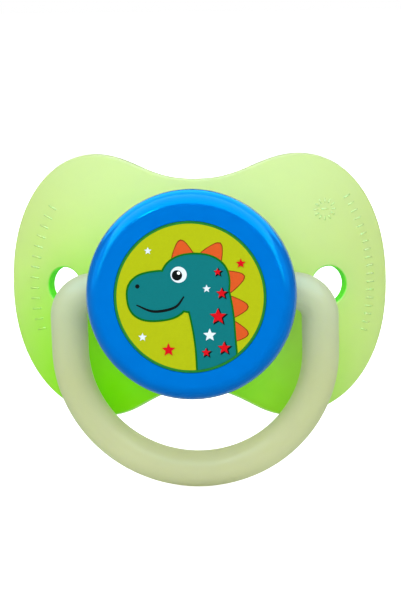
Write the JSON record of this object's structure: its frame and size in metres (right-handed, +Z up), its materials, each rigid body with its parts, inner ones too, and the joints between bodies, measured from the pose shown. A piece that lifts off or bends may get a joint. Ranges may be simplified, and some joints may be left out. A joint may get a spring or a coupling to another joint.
{
  "type": "pacifier",
  "caption": "Baby's pacifier: domed butterfly shield with air holes, orthodontic teat, round clip-on knob with a picture disc, and a ring handle that swings up and down.",
  "frame": {"origin": "centre of the knob's flat front face", "axes": "+Z up towards the baby's nose, -Y out of the knob's face, +Y along the teat into the mouth, +X across the shield's wings"},
  "size_m": [0.0602, 0.0408, 0.0532],
  "materials": {
    "shield_plastic": "glossy, translucent",
    "teat_silicone": "clear, soft",
    "plug_plastic": "moulded",
    "knob_plastic": "glossy",
    "printed_disc": "printed, glossy",
    "handle_plastic": "satin, milky"
  },
  "bodies": {
    "soother": {"shield": "shield_plastic", "teat": "teat_silicone", "teat_plug": "plug_plastic", "knob_cap": "knob_plastic", "picture_disc": "printed_disc"},
    "ring": {"handle": "handle_plastic"}
  },
  "joints": [
    {"name": "handle_swing", "type": "hinge", "parent": "soother", "child": "ring", "pos_m": [0, 0.0084, 0], "axis": [-1, 0, 0], "range_deg": [-2, 208]}
  ]
}
